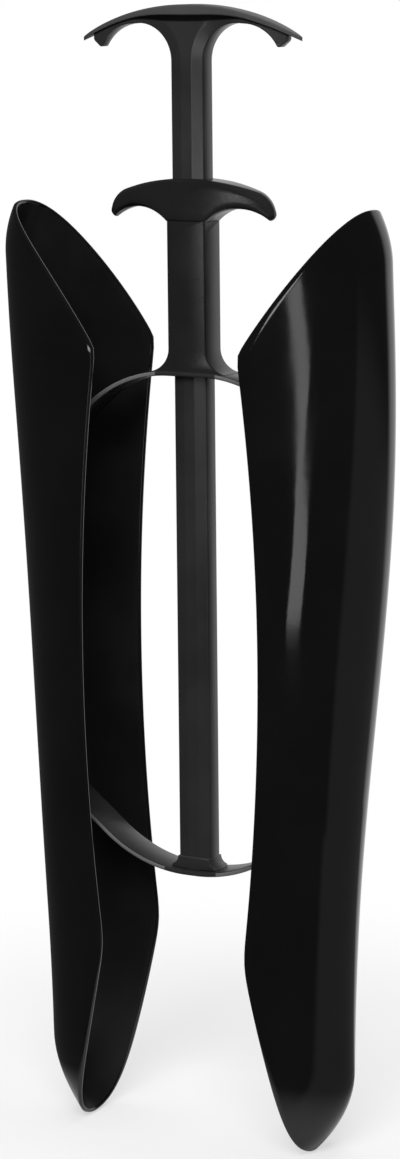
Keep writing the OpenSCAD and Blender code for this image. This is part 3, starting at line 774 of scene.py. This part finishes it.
def rim_x(z):
    corner = corner_high if z > (corner_high + corner_low) / 2 else corner_low
    k = corner_soft * clamped(1 - ((z - corner) / soft_reach) ** 2)
    if corner == corner_high:
        end = slant((z - corner_high) / (shell_h - corner_high), rim_high, back_x(shell_h))
    else:
        end = slant((corner_low - z) / corner_low, rim_low, back_x(0))
    return soft_max(waist_x(z), end, k)


def section_power(z):
    return lerp(square_low, square_high, z / shell_h)


def trough_point(z, angle, skin):
    """A point of the trough's section: the angle goes from the shin side to the calf side, and skin is
    the depth in the wall."""
    e = 2 / section_power(z)
    out = (back_x(z) - skin - waist_x(z)) * max(math.cos(angle), 0) ** e
    side = (lerp(half_low, half_high, z / shell_h) - skin) * math.copysign(abs(math.sin(angle)) ** e, angle)
    lean = calf_lean * (1 - swell(abs(z - calf_z) / calf_reach))
    return waist_x(z) + out, side + lean * out, z


# The rim's line, moved back into the wall by the radius of its rounding
inset = []
for k in range(rim_rows + 1):
    z = shell_h * k / rim_rows
    below, above = max(z - slope_step, 0), min(z + slope_step, shell_h)
    slope = (rim_x(above) - rim_x(below)) / (above - below)
    long = math.hypot(1, slope)
    inset.append((z - rim_round * slope / long, rim_x(z) + rim_round / long, slope))
inset.sort()


def inset_rim(z):
    """The moved rim's x at a height, and the slope of the rim there."""
    low, high = 0, len(inset) - 1
    while high - low > 1:
        mid = (low + high) // 2
        if inset[mid][0] > z:
            high = mid
        else:
            low = mid
    a, b = inset[low], inset[high]
    t = (z - a[0]) / (b[0] - a[0]) if b[0] > a[0] else 0.0
    return lerp(a[1], b[1], t), lerp(a[2], b[2], t)


def end_height(skin, inside, outside):
    """The height between two others at which the rim meets the calf side and the trough ends."""
    for _ in range(halvings):
        mid = (inside + outside) / 2
        if inset_rim(mid)[0] < back_x(mid) - skin:
            inside = mid
        else:
            outside = mid
    return inside


def shell_levels(skin, ends=34, middle=60):
    """Heights of the rings, close together at the two ends."""
    low, high = end_height(skin, corner_low, 0.0), end_height(skin, corner_high, shell_h)
    turns = [math.pi / 2 * k / ends for k in range(ends + 1)]
    return ([low + (corner_low - low) * (1 - math.cos(turn)) for turn in turns]
            + [lerp(corner_low, corner_high, k / middle) for k in range(1, middle)]
            + [corner_high + (high - corner_high) * math.sin(turn) for turn in turns])


def trough(across=44, nose=5):
    """The right shell as rings: outer skin, round rim, inner skin, round rim."""
    outer, inner = shell_levels(0.0), shell_levels(wall)
    points = []
    for z_out, z_in in zip(outer, inner):
        skins = []
        for z, skin in ((z_out, 0.0), (z_in, wall)):
            reach = back_x(z) - skin - waist_x(z)
            share = clamped((inset_rim(z)[0] - waist_x(z)) / reach)
            edge = math.acos(share ** (section_power(z) / 2))
            skins.append([Vector(trough_point(z, edge * (2 * j / across - 1), skin))
                          for j in range(across + 1)])
        slope = inset_rim((z_out + z_in) / 2)[1]
        outward = Vector((-1, 0, slope)).normalized()
        ring = list(skins[0])
        rims = ((skins[0][-1], skins[1][-1], skins[1][::-1]), (skins[1][0], skins[0][0], []))
        for a, b, after in rims:
            centre, half = (a + b) / 2, (a - b) / 2
            for k in range(1, nose):
                turn = math.pi * k / nose
                ring.append(centre + half * math.cos(turn) + outward * rim_round * math.sin(turn))
            ring += after
        points += [tuple(p) for p in ring]
    size = 2 * (across + 1) + 2 * (nose - 1)
    inner_skin = range(across + nose, 2 * across + nose)
    slots = [int(j in inner_skin) for _ in range(len(outer) - 1) for j in range(size)]
    return points, ring_faces(len(outer), size), slots


def trough_x(z, y, skin):
    """Where the trough's skin lies at a height and a distance from the middle."""
    low, high = -math.pi / 2, math.pi / 2
    for _ in range(halvings):
        mid = (low + high) / 2
        if trough_point(z, mid, skin)[1] < y:
            low = mid
        else:
            high = mid
    return trough_point(z, low, skin)[0]


def ear(pin, side, turns=48, least=0.001):
    """A lug with a round end and a bore, that grows out of the wall behind it."""
    wall_x = trough_x(pin[1], side * ear_far, wall / 2) - pin[0]
    points = []
    for i in range(turns):
        turn = 2 * math.pi * i / turns
        c, s = math.cos(turn), math.sin(turn)
        reach = ear_r
        if c > least:
            reach = min(wall_x / c, ear_r / max(abs(s), least))
        section = ((ear_bore_r, ear_near), (ear_bore_r, ear_far), (reach - ear_soft, ear_far),
                   (reach, ear_far - ear_soft), (reach, ear_near + ear_soft), (reach - ear_soft, ear_near))
        points += [(pin[0] + r * c, side * y, pin[1] + r * s) for r, y in section]
    return points, ring_faces(turns, len(section), closed=True)


gloss_black = plastic("gloss_black_plastic", (0.0022, 0.0022, 0.0024), (0.0035, 0.0035, 0.0037),
                      rough=(0.045, 0.075), grain=0.02, peel=0.012, edge_scuff_and_highlight=0.05, level=0.5)
matt_black = plastic("matt_inner_plastic", (0.005, 0.005, 0.0053), (0.008, 0.008, 0.0083),
                     rough=(0.4, 0.5), grain=0.2, peel=0.02, edge_scuff_and_highlight=0.05, level=0.4)
*skins, slots = trough()
right_shell = joined(skins, *[ear(pin, side) for pin in (high_pin, low_pin) for side in (-1, 1)])
slots += [1] * (len(right_shell[1]) - len(slots))
for side, word in ((1, "right"), (-1, "left")):
    points = [(side * x, y, z) for x, y, z in right_shell[0]]
    shell = mesh_piece("shell_" + word + "_moulding", points, right_shell[1],
                       gloss_black, matt_black, slots=slots)
    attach(shell, "shell_" + word)
    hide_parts("shell_" + word)

# Pins and screw
# Plain bright steel pins through the ears and eyes, and a countersunk steel screw that holds the
# lower bow against the rod's foot.


def bright_steel():
    dull, bright, rough = (0.46, 0.46, 0.47), (0.62, 0.62, 0.63), (0.22, 0.4)
    turned_scale, scratch, scratch_deep = 900, 0.15, 0.00005
    material = bpy.data.materials.new("bright_steel")
    material.use_nodes = True
    nodes, links = material.node_tree.nodes, material.node_tree.links
    shader = nodes["Principled BSDF"]
    shader.inputs["Metallic"].default_value = 1.0
    turned = new_noise(nodes, links, nodes.new("ShaderNodeTexCoord"), turned_scale, 2)
    links.new(new_mix(nodes, links, turned, dull, bright), shader.inputs["Base Color"])
    links.new(new_range(nodes, links, turned, 0.0, 1.0, *rough), shader.inputs["Roughness"])
    links.new(new_bump(nodes, links, turned, scratch, scratch_deep), shader.inputs["Normal"])
    return material


steel = bright_steel()
for name in ("upper_pin_left", "upper_pin_right", "lower_pin_left", "lower_pin_right", "foot_screw"):
    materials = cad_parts[name].data.materials
    materials.clear()
    materials.append(steel)

# Table, light and camera
# A plain pale table under soft studio light, white to the camera and dim to the part's glossy faces.
# The camera stands where the photographer stood, half right of the shin side and a little above the middle.

studio_dim, side_dim, side_turn = 0.07, 0.17, math.radians(100)
# How far a direction turns to the side, rises, and turns to the backdrop, where each change starts and ends
side_edge, side_low, backdrop_edge = (0.62, 0.72), (-0.24, -0.15), (0.76, 0.92)
table_r, table_sides, table_rough = 440.0, 120, 0.9
table_tone, table_shade, table_drop = (0.8, 0.8, 0.8, 1), 0.4, -0.26
table_clear, table_mirror = (0.10, 0.34), (0.05, 0.10)


def vector_step(nodes, links, how, way, second=None):
    step = nodes.new("ShaderNodeVectorMath")
    step.operation = how
    links.new(way, step.inputs[0])
    if second:
        step.inputs[1].default_value = second
    return step


def part_of(nodes, links, way, axis):
    parts = nodes.new("ShaderNodeSeparateXYZ")
    links.new(way, parts.inputs[0])
    return parts.outputs[axis]


def studio_level(nodes, links, way):
    """The studio is dim, and a little lighter low down to the right of the part."""
    unit = vector_step(nodes, links, "NORMALIZE", way).outputs["Vector"]
    side = (math.sin(side_turn), -math.cos(side_turn), 0)
    along = vector_step(nodes, links, "DOT_PRODUCT", unit, side).outputs["Value"]
    low = eased(nodes, links, part_of(nodes, links, unit, "Z"), *side_low)
    low = new_math(nodes, links, "SUBTRACT", 1.0, low)
    more = new_math(nodes, links, "MULTIPLY", eased(nodes, links, along, *side_edge), side_dim)
    return new_math(nodes, links, "ADD", new_math(nodes, links, "MULTIPLY", more, low), studio_dim)


def either_shader(nodes, links, share, first, second):
    """The first shader, and the second one where the share is 1."""
    step = nodes.new("ShaderNodeMixShader")
    for socket, source in zip(step.inputs, (share, first, second)):
        links.new(source, socket)
    return step.outputs["Shader"]


turns = [2 * math.pi * k / table_sides for k in range(table_sides)]
table_rim = [(table_r * math.cos(turn), table_r * math.sin(turn), 0.0) for turn in turns]
material = bpy.data.materials.new("pale_table")
table = mesh_piece("table_top", table_rim, [tuple(range(table_sides))], material)
material.use_nodes = True
nodes, links = material.node_tree.nodes, material.node_tree.links
shader = nodes["Principled BSDF"]
shader.inputs["Base Color"].default_value = table_tone
shader.inputs["Roughness"].default_value = table_rough
shader.inputs["Specular IOR Level"].default_value = 0.0
ray = nodes.new("ShaderNodeLightPath").outputs
place = nodes.new("ShaderNodeTexCoord").outputs["Object"]
far = vector_step(nodes, links, "LENGTH", place).outputs["Value"]
# The eye sees the table's own shadow near the part, and more and more plain white away from it
clear = new_math(nodes, links, "MULTIPLY", eased(nodes, links, far, *table_clear), table_shade)
clear = new_math(nodes, links, "ADD", clear, 1 - table_shade)
through = new_math(nodes, links, "MAXIMUM", ray["Is Camera Ray"], ray["Is Transmission Ray"])
white = nodes.new("ShaderNodeEmission").outputs["Emission"]
seen = either_shader(nodes, links, new_math(nodes, links, "MULTIPLY", through, clear),
                     shader.outputs["BSDF"], white)
# The part finds the table dark farther away, as it finds the studio
dark = nodes.new("ShaderNodeEmission")
way = vector_step(nodes, links, "NORMALIZE", place).outputs["Vector"]
lower = vector_step(nodes, links, "ADD", way, (0, 0, table_drop)).outputs["Vector"]
rear = eased(nodes, links, part_of(nodes, links, way, "Y"), *backdrop_edge)
level = new_math(nodes, links, "MAXIMUM", studio_level(nodes, links, lower), rear)
links.new(level, dark.inputs["Strength"])
bounced = new_math(nodes, links, "MAXIMUM", ray["Is Glossy Ray"], ray["Is Diffuse Ray"])
away = new_math(nodes, links, "MULTIPLY", bounced, eased(nodes, links, far, *table_mirror))
links.new(either_shader(nodes, links, away, seen, dark.outputs["Emission"]),
          nodes["Material Output"].inputs["Surface"])

# The studio: white backdrop all round for the eye, but glossy faces find it only behind the part
world = bpy.data.worlds.new("studio")
bpy.context.scene.world = world
world.use_nodes = True
nodes, links = world.node_tree.nodes, world.node_tree.links
dim, plain = nodes["Background"], nodes.new("ShaderNodeBackground")
dim.inputs["Color"].default_value = (1, 1, 1, 1)
plain.inputs["Color"].default_value = (1, 1, 1, 1)
plain.inputs["Strength"].default_value = 1.0
ray = nodes.new("ShaderNodeLightPath").outputs
way = nodes.new("ShaderNodeTexCoord").outputs["Generated"]
links.new(studio_level(nodes, links, way), dim.inputs["Strength"])
behind = eased(nodes, links, part_of(nodes, links, way, "Y"), *backdrop_edge)
mirror = new_math(nodes, links, "MULTIPLY", ray["Is Glossy Ray"], behind)
through = new_math(nodes, links, "MAXIMUM", ray["Is Camera Ray"], ray["Is Transmission Ray"])
links.new(either_shader(nodes, links, new_math(nodes, links, "MAXIMUM", through, mirror),
                        dim.outputs["Background"], plain.outputs["Background"]),
          nodes["World Output"].inputs["Surface"])

# Two boards of light stand in front of the part, where only its glossy faces find them. A narrow bent
# one draws the long streak on the right shell, and fades out at its foot; a plain one lights the grip.
# Each pair is a board's right edge and left edge, as degrees from straight in front and a height.
board_far, streak_glow, grip_glow = 850.0, 2.5, 6.0
streak_fade = (0.033, 0.05)
streak_edges = [
    ((6.5, 35), (14.0, 33)), ((7.5, 47), (17.1, 44)), ((9.5, 67), (18.8, 61)), ((10.2, 84), (19.0, 75)),
    ((9.6, 98), (17.2, 88)), ((8.3, 112), (13.0, 104)), ((6.2, 125), (11.3, 118)), ((4.6, 134), (11.3, 124)),
    ((3.2, 143), (11.0, 130)), ((1.1, 154), (9.8, 141)), ((-0.9, 164), (7.7, 152)),
    ((-4.5, 190), (3.3, 180)), ((-9.0, 222), (0.0, 212))]
grip_edges = [((-21.0, 250), (-5.0, 250)), ((-21.0, 306), (-5.0, 306))]


def light_board(name, edges, level, fade=None):
    """A board that glows at a level, from nothing below the fade's two heights to all above them."""
    points = []
    for pair in edges:
        for degrees, z in pair:
            turn = math.radians(degrees)
            points.append((board_far * math.sin(turn), -board_far * math.cos(turn), z))
    faces = [(2 * i, 2 * i + 1, 2 * i + 3, 2 * i + 2) for i in range(len(edges) - 1)]
    material = bpy.data.materials.new(name + "_glow")
    board = mesh_piece(name, points, faces, material)
    material.use_nodes = True
    nodes, links = material.node_tree.nodes, material.node_tree.links
    nodes.remove(nodes["Principled BSDF"])
    glow = nodes.new("ShaderNodeEmission")
    glow.inputs["Strength"].default_value = level
    if fade:
        high = part_of(nodes, links, nodes.new("ShaderNodeTexCoord").outputs["Object"], "Z")
        links.new(new_math(nodes, links, "MULTIPLY", eased(nodes, links, high, *fade), level),
                  glow.inputs["Strength"])
    links.new(glow.outputs["Emission"], nodes["Material Output"].inputs["Surface"])
    board.visible_camera = False
    board.visible_diffuse = False


light_board("streak_board", streak_edges, streak_glow, fade=streak_fade)
light_board("grip_board", grip_edges, grip_glow)


def softbox(name, place, aim, size, glow):
    """A rectangular lamp that glossy faces don't find; glow is the brightness of its face."""
    data = bpy.data.lights.new(name, "AREA")
    data.shape = "RECTANGLE"
    data.size, data.size_y = size
    data.energy = glow * math.pi * size[0] * size[1]
    lamp = bpy.data.objects.new(name, data)
    lamp.location = place
    lamp.rotation_euler = (Vector(aim) - Vector(place)).to_track_quat("-Z", "Y").to_euler()
    lamp.visible_camera = False
    lamp.visible_glossy = False
    bpy.context.collection.objects.link(lamp)


softbox("overhead_box", (0.0, 0.15, 1.7), aim=(0, 0, 0), size=(1.1, 0.9), glow=4.5)
softbox("fill_box", (0.56, -1.28, 1.15), aim=(0, 0, 0.2), size=(1.0, 0.9), glow=12.5)

turn, tilt, roll = math.radians(30.2), math.radians(9.9), math.radians(-0.586)
stand_far, stand_high, stand_aside = 1.25, 0.2013, 0.00109
# The lens by the photograph's frame: its height in pixels, and the focal length in the same pixels
photo_high, photo_focal, film = 1159, 3575, 36
back = Vector((math.sin(turn) * math.cos(tilt), -math.cos(turn) * math.cos(tilt), math.sin(tilt)))
level_right = Vector((math.cos(turn), math.sin(turn), 0))
level_up = back.cross(level_right)
right = level_right * math.cos(roll) + level_up * math.sin(roll)
up = level_up * math.cos(roll) - level_right * math.sin(roll)
stand = Vector((0, 0, stand_high)) + level_right * stand_aside + back * stand_far
lens = bpy.data.cameras.new("photo_camera")
lens.sensor_fit = "AUTO"
lens.sensor_width = film
lens.lens = photo_focal / photo_high * film
lens.clip_start, lens.clip_end = 0.05, 50
camera = bpy.data.objects.new("photo_camera", lens)
camera.matrix_world = Matrix(((right.x, up.x, back.x, stand.x), (right.y, up.y, back.y, stand.y),
                              (right.z, up.z, back.z, stand.z), (0, 0, 0, 1)))
bpy.context.collection.objects.link(camera)
bpy.context.scene.camera = camera
bpy.context.scene.view_settings.view_transform = "Standard"
